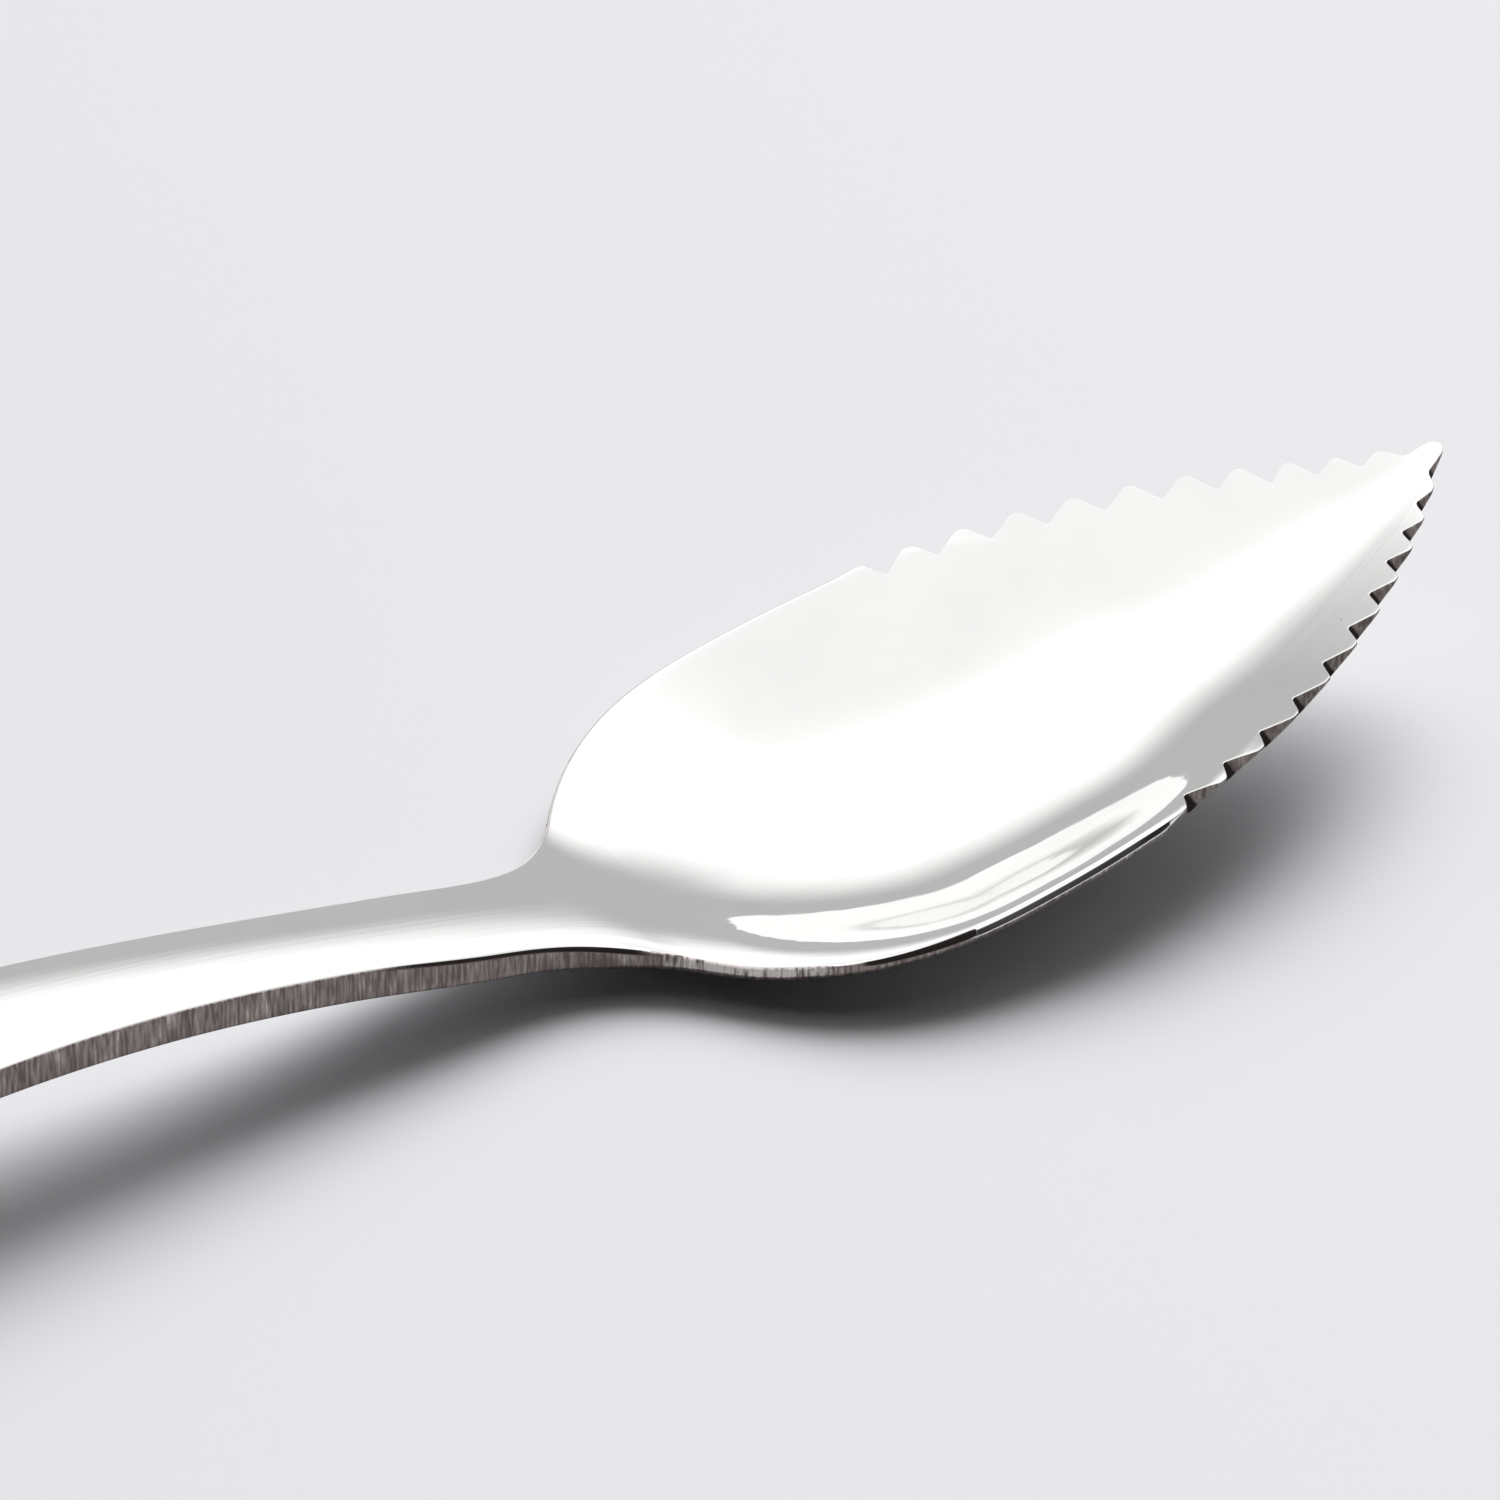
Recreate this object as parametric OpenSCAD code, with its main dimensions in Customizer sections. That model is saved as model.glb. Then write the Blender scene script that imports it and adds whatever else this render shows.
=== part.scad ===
// Serrated fruit spoon, pressed from one sheet of stainless steel.
// Lies on a table at z = 0, on the belly of its bowl and the end of its handle.
// The tip points along +X and the middle of its length is at x = 0. Millimetres.
// Places along the spoon are measured from the tip towards the handle.

/* [Lengths] */
// Length of the bowl, from the tip to the heel
bowl_l = 56.7; // [50:0.1:66]
// Length of the neck, from the heel to its narrowest place
neck_l = 20.1; // [16:0.1:30]
// Length of the handle, from the narrowest place to its end
handle_l = 83.2; // [74:0.1:110]

/* [Outline of the bowl] */
// Greatest width of the bowl
bowl_w = 32; // [28:0.5:38]
// Distance from the tip to the greatest width
wide_at = 38.8; // [34:0.1:44]
// Width of the blunt tip
tip_w = 0.7; // [0.4:0.1:1.5]
// Angle of each edge to the centre line at the tip, in degrees
tip_angle = 42.2; // [35:0.1:48]
// Width of the bowl at the heel
heel_w = 17; // [14:0.5:20]
// Angle of each edge to the centre line at the heel, in degrees
heel_angle = 51.1; // [40:0.1:58]

/* [Outline of the neck and handle] */
// Length of the shoulder, where the heel narrows to the shank
shoulder_l = 11.1; // [8:0.1:14]
// Width of the shank where the shoulder ends
shank_w = 7.6; // [6.6:0.1:10]
// Narrowest width of the neck
neck_w = 6.9; // [5.5:0.1:9]
// Greatest width of the handle, near its end
end_w = 16; // [13:0.5:22]
// Length of the rounded end of the handle
end_round = 11; // [8:0.5:18]

/* [Side profile] */
// Slope of the rim, falling from the tip to the heel, in degrees
rim_fall = 10.3; // [6:0.1:13]
// How far the very tip turns up from the rim line
tip_lift = 0.9; // [0:0.1:2]
// Length over which the tip turns up
tip_curl_l = 6; // [4:0.5:10]
// Length of the bend that turns the rim up into the neck
heel_bend_l = 3.5; // [2:0.5:8]
// Slope of the neck, rising from the heel, in degrees
neck_rise = 12.1; // [8:0.1:16]
// Length over which the end of the handle levels out to lie on the table
end_level_l = 20; // [12:1:36]

/* [Dish of the bowl] */
// Slope of the bowl's floor, falling from the tip, in degrees
floor_fall = 17.3; // [15:0.1:20]
// Length of the bend that turns the floor up into the neck
floor_bend_l = 29.3; // [24:0.1:40]
// How far the floor sinks below that bend around the heel
floor_sink = 0.26; // [0:0.02:0.6]
// How far in front of the heel the sinking begins
sink_front = 25; // [15:1:30]
// How far behind the heel the sinking ends
sink_back = 13; // [8:1:18]
// Flatness of the floor across the bowl: 2 is round, and more is flatter
floor_flat_tip = 2.3; // [2:0.1:4]
floor_flat_mid = 3; // [2:0.1:4]
floor_flat_heel = 2.2; // [2:0.1:4]
// Flatness of the rim across the bowl: 1 is a plain hollow, 2 a bell with a level rim
rim_flat_tip = 2.25; // [1.3:0.05:2.6]
rim_flat_mid = 1.55; // [1.3:0.05:2.6]
rim_flat_heel = 2.2; // [1.3:0.05:2.6]
// Places where the shape of the tip ends and that of the middle begins
tip_shape_to = 12.4; // [8:0.1:18]
mid_shape_from = 31.3; // [26:0.1:38]
// How far in front of the heel the shape of the middle ends
mid_shape_to_heel = 15; // [10:0.5:18]
// Place across the front of the bowl from which the slope stays the same out to the teeth
steady_from = 0.62; // [0.5:0.02:0.9]
// Places along the spoon between which that steady slope fades out
steady_to = 14; // [8:0.5:18]
steady_end = 27; // [22:0.5:32]

/* [Sheet] */
// Thickness of the sheet in the bowl
bowl_t = 1.05; // [0.7:0.05:1.4]
// Thickness left at the plain rim, where the underside is ground away behind the teeth
rim_t = 0.62; // [0.4:0.02:1]
// How far in front of the heel that grinding begins to run out
rim_thin_to_heel = 10; // [6:0.5:16]
// Thickness of the sheet at the edges of the handle
handle_t = 2; // [1.4:0.1:3]
// How far in front of the heel the sheet begins to thicken
thin_to_heel = 14; // [8:0.5:20]
// Extra height of the crown along the middle of the neck
neck_crown = 0.4; // [0:0.05:0.6]
// How far in front of the heel that crown begins
crown_front = 6.5; // [2:0.5:10]
// Length over which it rises
crown_l = 11; // [8:0.5:16]
// Extra height of the crown along the middle of the handle's end
end_crown = 0.6; // [0:0.05:1.2]
// Rounding of the edges
edge_round = 0.2; // [0.1:0.05:0.35]

/* [Teeth] */
// Number of notches along each side
notch_n = 11; // [6:1:12]
// Distance from the tip to the first crest
first_crest = 2.3; // [1.8:0.01:3]
// Distance between the first two crests, along the spoon
pitch_tip = 1.94; // [1.6:0.01:2.4]
// How much each distance is longer than the one before it
pitch_step = 0.23; // [0.15:0.01:0.3]
// Longest distance between two crests
pitch_max = 3.22; // [2.6:0.02:3.6]
// Depth of a full notch, square to the edge
notch_depth = 1.26; // [0.6:0.02:1.3]
// Depth of the first notch, at the tip
tip_notch = 0.58; // [0.4:0.02:0.8]
// How much deeper each notch is than the one before it, up to a full one
notch_step = 0.25; // [0.1:0.05:0.4]
// Part of each tooth left uncut at its crest
land_part = 0.17; // [0.1:0.01:0.3]
// Part of each tooth taken by the long flank behind its crest
flank_part = 0.57; // [0.45:0.01:0.62]
// Thickness left at the crests, where the underside is ground away
crest_t = 0.18; // [0.12:0.02:0.4]
// Angle of the ground underside to the sheet, in degrees
grind_angle = 37; // [20:1:45]

/* [Hidden] */

steel = "#d9d9d6";

// Ends of the three zones along the spoon
heel = bowl_l;
waist = heel + neck_l;
spoon_l = waist + handle_l;
end_wide = spoon_l - end_round;

// Steps of the loft
column_n = 8;
plain_step = 2;
neck_step = 1.6;
handle_step = 4;
end_steps = 9;

// Strip along each edge that holds the teeth, and the least share of the width inside it
edge_band = 1.9;
inner_share = 0.55;
// Greatest share of a thickness or width that a rounding takes
round_share = 0.3;
// Width left at the very end of the handle
end_flat_w = 1;
// Length over which the edge thickens behind the last tooth
grind_runout = 2;
// Distance over which slopes are measured
slope_probe = 0.05;

// Cubic curve from a to b, each given as [place, value, slope]
function hermite(a, b, s) =
    let (h = b[0] - a[0], u = (s - a[0]) / h, v = 1 - u)
    (1 + 2 * u) * v * v * a[1] + u * v * v * h * a[2]
    + u * u * (3 - 2 * u) * b[1] - u * u * v * h * b[2];

// Chain of such curves through a list of points
function along(points, s, i = 0) =
    i >= len(points) - 2 || s <= points[i + 1][0]
        ? hermite(points[i], points[i + 1], s)
        : along(points, s, i + 1);

// Smooth step from 0 at a to 1 at b
function ease(s, a, b) =
    let (u = min(1, max(0, (s - a) / (b - a))))
    u * u * (3 - 2 * u);

// Rise of a line that turns steadily from level to a slope of 1 over a length
function bend(s, start, length) =
    let (u = min(length, max(0, s - start)))
    u * u / (2 * length) + max(0, s - start - length);

// Half width of the outline through the crests of the teeth
outline = [
    [0, tip_w / 2, tan(tip_angle)],
    [wide_at, bowl_w / 2, 0],
    [heel, heel_w / 2, -tan(heel_angle)],
    [heel + shoulder_l, shank_w / 2, 0],
    [waist, neck_w / 2, 0],
    [end_wide, end_w / 2, 0]
];

function round_end(s) =
    let (u = min(1, (s - end_wide) / end_round))
    end_flat_w / 2 + (end_w - end_flat_w) / 2 * sqrt(1 - u * u);

function half_w(s) = s <= end_wide ? along(outline, s) : round_end(s);

function half_w_slope(s) = (half_w(s + slope_probe) - half_w(s - slope_probe)) / (2 * slope_probe);

// Places of the crests: the first is the tip itself
function pitch(k) = min(pitch_max, pitch_tip + pitch_step * (k - 1));
function crest(k) = k == 0 ? 0 : k == 1 ? first_crest : crest(k - 1) + pitch(k - 1);

crests = [for (k = [0:notch_n]) crest(k)];
lands = [for (k = [0:notch_n - 1]) crests[k] + land_part * (crests[k + 1] - crests[k])];
valleys = [for (k = [0:notch_n - 1]) lands[k] + flank_part * (crests[k + 1] - crests[k])];
teeth_end = crests[notch_n];

// How far the outline is cut in, measured across the spoon
function full_cut(k) =
    min(notch_depth, tip_notch + notch_step * k)
    * sqrt(1 + pow(half_w_slope(valleys[k]), 2));

function cut_in_tooth(s, k) =
    s <= lands[k] ? 0
    : s <= valleys[k]
        ? full_cut(k) * (s - lands[k]) / (valleys[k] - lands[k])
        : full_cut(k) * (crests[k + 1] - s) / (crests[k + 1] - valleys[k]);

function tooth_at(s, k = 0) = k >= notch_n - 1 || s <= crests[k + 1] ? k : tooth_at(s, k + 1);

function cut(s) = s <= 0 || s >= teeth_end ? 0 : cut_in_tooth(s, tooth_at(s));

// Evenly spaced places from a to b, both included, no further apart than a step
function spread(a, b, step) =
    let (n = max(1, ceil((b - a) / step)))
    [for (i = [0:n]) a + (b - a) * i / n];

// One place along each land, and two along each flank and riser
tooth_stations = [
    for (k = [0:notch_n - 1])
    each [crests[k], lands[k], (lands[k] + valleys[k]) / 2, valleys[k], (valleys[k] + crests[k + 1]) / 2]
];

bowl_stations = concat(tooth_stations, spread(teeth_end, heel, plain_step));
neck_stations = spread(heel, waist, neck_step);
handle_stations = concat(
    spread(waist, end_wide, handle_step),
    [for (i = [1:end_steps]) end_wide + end_round * sin(90 * i / end_steps)]
);

// Thickness of the sheet, and height of the crown on top of it
function sheet_t(s) = bowl_t + (handle_t - bowl_t) * ease(s, heel - thin_to_heel, waist);

function crown(s) =
    neck_crown * ease(s, heel - crown_front, heel - crown_front + crown_l)
    + (end_crown - neck_crown) * ease(s, waist, end_wide);

// Height of the edge: a straight rim, turned up at the tip and at the heel
fall = tan(rim_fall);
rise = tan(neck_rise);

function tip_curl(s) = tip_lift * pow(max(0, 1 - s / tip_curl_l), 2);

function rim_line(s) =
    tip_curl(s) - fall * s + (fall + rise) * bend(s, heel - heel_bend_l / 2, heel_bend_l);

// Height of the floor on the centre line: it falls more steeply than the rim
// and turns up in a longer bend, whose two straight lines cross where they meet
floor_slope = tan(floor_fall);
floor_cross = (fall + rise) * heel / (floor_slope + rise);
sink_from = heel - sink_front;
sink_l = sink_front + sink_back;

function sink(s) =
    let (u = min(1, max(0, (s - sink_from) / sink_l)))
    floor_sink * (1 - cos(360 * u)) / 2;

function floor_line(s) =
    tip_curl(s) - floor_slope * s
    + (floor_slope + rise) * bend(s, floor_cross - floor_bend_l / 2, floor_bend_l)
    - sink(s);

// Depth of the dish below the rim, along the centre line
function dish(s) = s >= heel + sink_back ? 0 : rim_line(s) - floor_line(s);

// Value at a place of a shape that is given at the tip, in the middle and at the heel
function shaped(s, tip, mid, at_heel) =
    tip + (mid - tip) * ease(s, tip_shape_to, mid_shape_from)
    + (at_heel - mid) * ease(s, heel - mid_shape_to_heel, heel);

function floor_flat(s) = shaped(s, floor_flat_tip, floor_flat_mid, floor_flat_heel);

function rim_flat(s) = shaped(s, rim_flat_tip, rim_flat_mid, rim_flat_heel);

// The handle arches down from the waist, then levels out, so that its end
// lies on the same level as the lowest place of the belly
belly = min([for (s = bowl_stations) floor_line(s) - sheet_t(s)]);
arch_l = handle_l - end_level_l;
level_at = waist + arch_l;
arch_turn = (rim_line(spoon_l) - rise * end_level_l / 2 - handle_t - belly)
    / (arch_l / 2 + end_level_l / 2);

function edge_z(s) =
    rim_line(s) - arch_turn * bend(s, waist, arch_l)
    + (arch_turn - rise) * bend(s, level_at, end_level_l);

// Place across the spoon: 0 on the centre line, 1 on the outline
function across(s, y) =
    let (
        u = max(0, (s - end_wide) / end_round),
        w = s > end_wide ? end_w / 2 : half_w(s)
    )
    min(1, sqrt(pow(y / w, 2) + u * u));

// Section of the dish: a bell, whose slope stays the same near the teeth
function bell(s, e) = pow(1 - pow(max(0, e), floor_flat(s)), rim_flat(s));

function steady(s) = steady_from + (1 - steady_from) * ease(s, steady_to, steady_end);

function section(s, e) =
    let (k = min(e, steady(s)))
    bell(s, k) + (e - k) * (bell(s, k) - bell(s, k - slope_probe)) / slope_probe;

// Height of the sheet at a place along and across the spoon, without its crown
function hollow(s, y) = edge_z(s) - dish(s) * (section(s, across(s, y)) - section(s, 1));

function slope_along(s, y) =
    let (a = max(s - slope_probe, 0), b = min(s + slope_probe, spoon_l))
    (hollow(b, y) - hollow(a, y)) / (b - a);

function slope_across(s, y) =
    let (edge = half_w(s), a = max(y - slope_probe, -edge), b = min(y + slope_probe, edge))
    (hollow(s, b) - hollow(s, a)) / (b - a);

// Thickness at the outline: thin at the crests, thicker at the plain rim, full at the heel
function edge_t(s) =
    crest_t + (rim_t - crest_t) * ease(s, teeth_end, teeth_end + grind_runout)
    + (sheet_t(s) - rim_t) * ease(s, heel - rim_thin_to_heel, heel);

// Thickness at a place: ground away from below towards the outline
function local_t(s, y) =
    let (inside = max(0, half_w(s) - abs(y)))
    min(sheet_t(s), edge_t(s) + tan(grind_angle) * inside);

function top_point(s, y, drop = 0) =
    [spoon_l / 2 - s, y, hollow(s, y) + crown(s) * (1 - pow(across(s, y), 2)) - drop - belly];

// Point under a place: the sheet is as thick as it should be, square to its surface
function under_point(s, y, lift = 0) =
    let (
        tilt = slope_across(s, y),
        lean = sqrt(1 + tilt * tilt),
        t = (local_t(s, y) - lift) * sqrt(1 + pow(slope_along(s, y), 2) / (lean * lean))
    )
    [spoon_l / 2 - s, y + t * tilt / lean, hollow(s, y) - t / lean - belly];

// Closed ring of points around the sheet at one place along the spoon
function ring(s) =
    let (
        edge = half_w(s) - cut(s),
        inner = max(half_w(s) - edge_band, inner_share * half_w(s)),
        r = min(edge_round, round_share * local_t(s, edge), round_share * edge),
        columns = [for (j = [-column_n:column_n]) inner * j / column_n]
    )
    concat(
        [top_point(s, -edge, r), top_point(s, r - edge)],
        [for (y = columns) top_point(s, y)],
        [top_point(s, edge - r), top_point(s, edge, r)],
        [under_point(s, edge, r), under_point(s, edge - r)],
        [for (j = [len(columns) - 1:-1:0]) under_point(s, columns[j])],
        [under_point(s, r - edge), under_point(s, -edge, r)]
    );

// Solid through the rings at a list of places
module loft(stations) {
    rings = [for (s = stations) ring(s)];
    m = len(rings[0]);
    last = len(rings) - 1;
    sides = [
        for (i = [0:last - 1], j = [0:m - 1])
        let (a = i * m + j, b = i * m + (j + 1) % m)
        each [[a, b, b + m], [a, b + m, a + m]]
    ];
    polyhedron(
        points = [for (r = rings) each r],
        faces = concat(
            [[for (j = [m - 1:-1:0]) j]],
            sides,
            [[for (j = [0:m - 1]) last * m + j]]
        )
    );
}

module bowl() { color(steel) loft(bowl_stations); }
module neck() { color(steel) loft(neck_stations); }
module handle() { color(steel) loft(handle_stations); }

bowl();
neck();
handle();
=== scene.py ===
"""Looks of a serrated fruit spoon: one pressed sheet of mirror-polished steel on a pale table.

Sizes are in millimetres and angles in degrees, and MM turns millimetres into the frame's metres.
Places along the spoon are measured from the tip of the bowl towards the handle's end.
"""

import logging
from dataclasses import dataclass
from enum import Enum
from typing import Any

import bmesh
import bpy
import numpy as np
from mathutils import Matrix, Vector


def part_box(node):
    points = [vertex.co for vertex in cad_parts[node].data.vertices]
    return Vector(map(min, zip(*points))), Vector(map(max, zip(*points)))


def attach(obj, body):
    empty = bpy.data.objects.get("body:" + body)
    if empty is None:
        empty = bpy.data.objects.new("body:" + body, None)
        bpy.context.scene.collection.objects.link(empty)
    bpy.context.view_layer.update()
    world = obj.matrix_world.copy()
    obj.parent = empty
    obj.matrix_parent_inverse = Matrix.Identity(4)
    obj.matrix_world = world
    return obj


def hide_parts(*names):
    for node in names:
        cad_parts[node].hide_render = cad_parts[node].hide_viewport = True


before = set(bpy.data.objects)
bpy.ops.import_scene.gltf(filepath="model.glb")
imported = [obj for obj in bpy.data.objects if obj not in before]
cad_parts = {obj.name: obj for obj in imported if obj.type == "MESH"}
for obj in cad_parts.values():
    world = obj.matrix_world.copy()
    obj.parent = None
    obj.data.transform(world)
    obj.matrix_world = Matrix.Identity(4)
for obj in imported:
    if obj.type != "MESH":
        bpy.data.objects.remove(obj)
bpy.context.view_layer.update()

log = logging.getLogger("fruit_spoon")

MM = 0.001
BUFF = "buff"
# Attribute of the painted shade in the teeth's valleys and of a dark line painted below the edge's
# rounding
VALLEY_SHADE_AND_LINE = "valley_shade_and_line"
FLOW = "flow"
NOISE_MIDDLE = 0.5

# Step over which slopes are taken, and the value below which a component of a normal is none
PROBE = 0.05
NEAR_ZERO = 1e-6

# Distances in metres: points closer than the first are one, and shorter edges than the second go
MERGE_M = 1e-7
SLIVER_M = 1e-8

Array = np.ndarray
Triple = tuple[float, float, float]
Colour = Triple
Shape = Triple
Range = tuple[float, float]


def ease(s: Array, start: float, stop: float) -> Array:
    """Smooth step: 0 before start, 1 after stop, and 3u^2 - 2u^3 between."""
    u = np.clip((s - start) / (stop - start), 0.0, 1.0)
    return u * u * (3.0 - 2.0 * u)


def bend(s: Array, start: float, length: float) -> Array:
    """Rise of a line that turns steadily from level to a slope of 1 over a length.

    Args:
        s: Places along the line.
        start: Place where the turn begins.
        length: Length of the turn.

    Returns:
        u^2 / (2 length) within the turn, and a straight rise of slope 1 after it.
    """
    u = np.clip(s - start, 0.0, length)
    return u * u / (2.0 * length) + np.maximum(0.0, s - start - length)


def cosine_steps(start: float, stop: float, count: int) -> Array:
    """Places from start, included, to stop, left out, crowded towards both."""
    return start + (stop - start) * (1.0 - np.cos(np.pi * np.arange(count) / count)) / 2.0


class Finish(Enum):
    """Finishes of the spoon's surface, in the order of its material slots."""

    MIRROR = 0
    CUT = 1
    GROUND = 2


class Socket:
    """A number socket of a node: arithmetic on it adds Math nodes."""

    def __init__(self, tree: "ShaderTree", socket: bpy.types.NodeSocket) -> None:
        """Keeps the tree that the socket belongs to."""
        self.tree = tree
        self.socket = socket

    def math(self, operation: str, *values: Any) -> "Socket":
        """A Math node on these values, in order."""
        sockets = dict(enumerate(values))
        return self.tree.node("ShaderNodeMath", {"operation": operation}, sockets)[0]

    def at_most(self, limit: float) -> "Socket":
        """The smaller of the value and a limit."""
        return self.math("MINIMUM", self, limit)

    def __add__(self, other: Any) -> "Socket":
        """self + other"""
        return self.math("ADD", self, other)

    __radd__ = __add__

    def __sub__(self, other: Any) -> "Socket":
        """self - other"""
        return self.math("SUBTRACT", self, other)

    def __rsub__(self, other: Any) -> "Socket":
        """other - self"""
        return self.math("SUBTRACT", other, self)

    def __mul__(self, other: Any) -> "Socket":
        """self * other"""
        return self.math("MULTIPLY", self, other)

    __rmul__ = __mul__


class ShaderNode:
    """A node whose output sockets are read by name or by number."""

    def __init__(self, tree: "ShaderTree", raw: bpy.types.Node) -> None:
        """Keeps Blender's own node."""
        self.tree = tree
        self.raw = raw

    def __getitem__(self, key: str | int) -> Socket:
        """The output socket of that name or number."""
        return Socket(self.tree, self.raw.outputs[key])


class ShaderTree:
    """Node tree of a material or of the world, emptied and ready to be filled."""

    def __init__(self, owner: bpy.types.Material | bpy.types.World) -> None:
        """Turns on the owner's nodes and removes those that it came with.

        Args:
            owner: The material or the world.
        """
        owner.use_nodes = True
        self.raw = owner.node_tree
        self.raw.nodes.clear()

    def node(self, kind: str, settings: dict[str, Any] | None = None,
             sockets: dict[str | int, Any] | None = None) -> ShaderNode:
        """Adds one node of any kind.

        Args:
            kind: Blender's name of the node's type.
            settings: The node's own properties, which are set first.
            sockets: Values or links of the inputs, by identifier, name or number.

        Returns:
            The new node.
        """
        raw = self.raw.nodes.new(kind)
        for name, value in (settings or {}).items():
            setattr(raw, name, value)
        for key, value in (sockets or {}).items():
            target = self.find_input(raw, key)
            if isinstance(value, Socket):
                self.raw.links.new(value.socket, target)
            else:
                target.default_value = value
        return ShaderNode(self, raw)

    @staticmethod
    def find_input(raw: bpy.types.Node, key: str | int) -> bpy.types.NodeSocket:
        """Finds an input socket of a node.

        Args:
            raw: Blender's own node.
            key: The socket's identifier, name or number.

        Returns:
            The socket.
        """
        if isinstance(key, int):
            return raw.inputs[key]
        named = {socket.identifier: socket for socket in raw.inputs}
        return named.get(key) or raw.inputs[key]

    def smooth(self, value: Socket, low: float, high: float) -> Socket:
        """Smooth step of a value: 0 below low and 1 above high."""
        return self.node("ShaderNodeMapRange", {"interpolation_type": "SMOOTHSTEP"},
                         {"Value": value, "From Min": low, "From Max": high})[0]

    def mix(self, factor: Socket, low: Any, high: Any) -> Socket:
        """Mixes two colours: low where the factor is 0, high where it is 1."""
        sockets = {"Factor_Float": factor, "A_Color": low, "B_Color": high}
        return self.node("ShaderNodeMix", {"data_type": "RGBA"}, sockets)[2]

    def noise(self, scale_mm: float, stretch: Triple = (1.0, 1.0, 1.0), detail: float = 2.0) -> Socket:
        """Noise on Object coordinates.

        Args:
            scale_mm: Size of its grains.
            stretch: How many times longer the grains are along each axis.
            detail: Octaves of finer noise on top.

        Returns:
            The noise, about 0.5 in the middle.
        """
        place = self.node("ShaderNodeTexCoord")["Object"]
        scale = tuple(1.0 / (scale_mm * MM * s) for s in stretch)
        mapped = self.node("ShaderNodeMapping", {}, {"Vector": place, "Scale": scale})[0]
        return self.node("ShaderNodeTexNoise", {}, {"Vector": mapped, "Scale": 1.0, "Detail": detail})[0]

    def bump(self, height: Socket, depth_mm: float) -> Socket:
        """Normal of a surface with that relief, this many millimetres deep."""
        return self.node("ShaderNodeBump", {}, {"Height": height, "Distance": depth_mm * MM})[0]

    def surface(self, **sockets: Any) -> None:
        """Ends the tree in a Principled shader.

        Args:
            sockets: Values or links of its inputs, with underscores for the spaces in their names.
        """
        named = {key.replace("_", " "): value for key, value in sockets.items()}
        shader = self.node("ShaderNodeBsdfPrincipled", {}, named)[0]
        self.node("ShaderNodeOutputMaterial", {}, {"Surface": shader})


def new_material(name: str) -> tuple[bpy.types.Material, ShaderTree]:
    """A new material and its empty tree."""
    material = bpy.data.materials.new(name)
    return material, ShaderTree(material)


def opaque(colour: Colour) -> tuple[float, float, float, float]:
    """The colour with an alpha of 1."""
    return (*colour, 1.0)


@dataclass(frozen=True)
class MirrorSteel:
    """Buffed stainless steel with a faint haze and a few pits."""

    colour: Colour = (0.90, 0.898, 0.89)
    haze_colour: Colour = (0.865, 0.862, 0.855)
    pit_colour: Colour = (0.30, 0.28, 0.27)
    roughness: float = 0.03
    haze: float = 0.03
    cloud_mm: float = 7.0
    cloud_detail: float = 4.0
    cloud_range: Range = (0.35, 0.75)
    pit_cell_mm: float = 4.5
    pit_mm: float = 0.09
    pit_core: float = 0.4
    pit_pick: Range = (0.62, 0.66)
    pit_roughness: float = 0.35
    wave_mm: float = 1.6
    wave_l_mm: float = 22.0
    wave_depth_mm: float = 0.006
    wave_detail: float = 2.0

    def waves(self, tree: ShaderTree) -> Socket:
        """Faint waves of the pressed sheet, long along the spoon and short across it.

        Args:
            tree: The tree that they are added to.

        Returns:
            Their height: a noise times its strength at each place.
        """
        place = tree.node("ShaderNodeAttribute", {"attribute_name": FLOW})["Vector"]
        scale = (1.0 / self.wave_l_mm, 1.0 / self.wave_mm, 0.0)
        mapped = tree.node("ShaderNodeMapping", {}, {"Vector": place, "Scale": scale})[0]
        sockets = {"Vector": mapped, "Scale": 1.0, "Detail": self.wave_detail}
        noise = tree.node("ShaderNodeTexNoise", {}, sockets)[0]
        strength = tree.node("ShaderNodeSeparateXYZ", {}, {"Vector": place})["Z"]
        return noise * strength

    def pits(self, tree: ShaderTree) -> Socket:
        """Pits: small spots at the middle of some cells of a Voronoi pattern.

        Args:
            tree: The tree that they are added to.

        Returns:
            1 inside the pits and 0 around them.
        """
        place = tree.node("ShaderNodeTexCoord")["Object"]
        scale = 1.0 / (self.pit_cell_mm * MM)
        cells = tree.node("ShaderNodeTexVoronoi", {}, {"Vector": place, "Scale": scale})
        pick = tree.node("ShaderNodeSeparateColor", {}, {0: cells["Color"]})
        size = self.pit_mm / self.pit_cell_mm
        chosen = tree.smooth(pick[0], *self.pit_pick)
        return (1.0 - tree.smooth(cells["Distance"], self.pit_core * size, size)) * chosen

    def material(self) -> bpy.types.Material:
        """Colour and gloss drift a little with the clouds of the buffing haze.

        Returns:
            The new material.
        """
        material, tree = new_material("mirror_steel")
        cloud = tree.smooth(tree.noise(self.cloud_mm, detail=self.cloud_detail), *self.cloud_range)
        haze = tree.mix(cloud, opaque(self.colour), opaque(self.haze_colour))
        pits = self.pits(tree)
        tree.surface(
            Base_Color=tree.mix(pits, haze, opaque(self.pit_colour)),
            Roughness=cloud * self.haze + self.roughness + pits * self.pit_roughness,
            Metallic=1.0,
            Normal=tree.bump(self.waves(tree), self.wave_depth_mm),
        )
        return material


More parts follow.
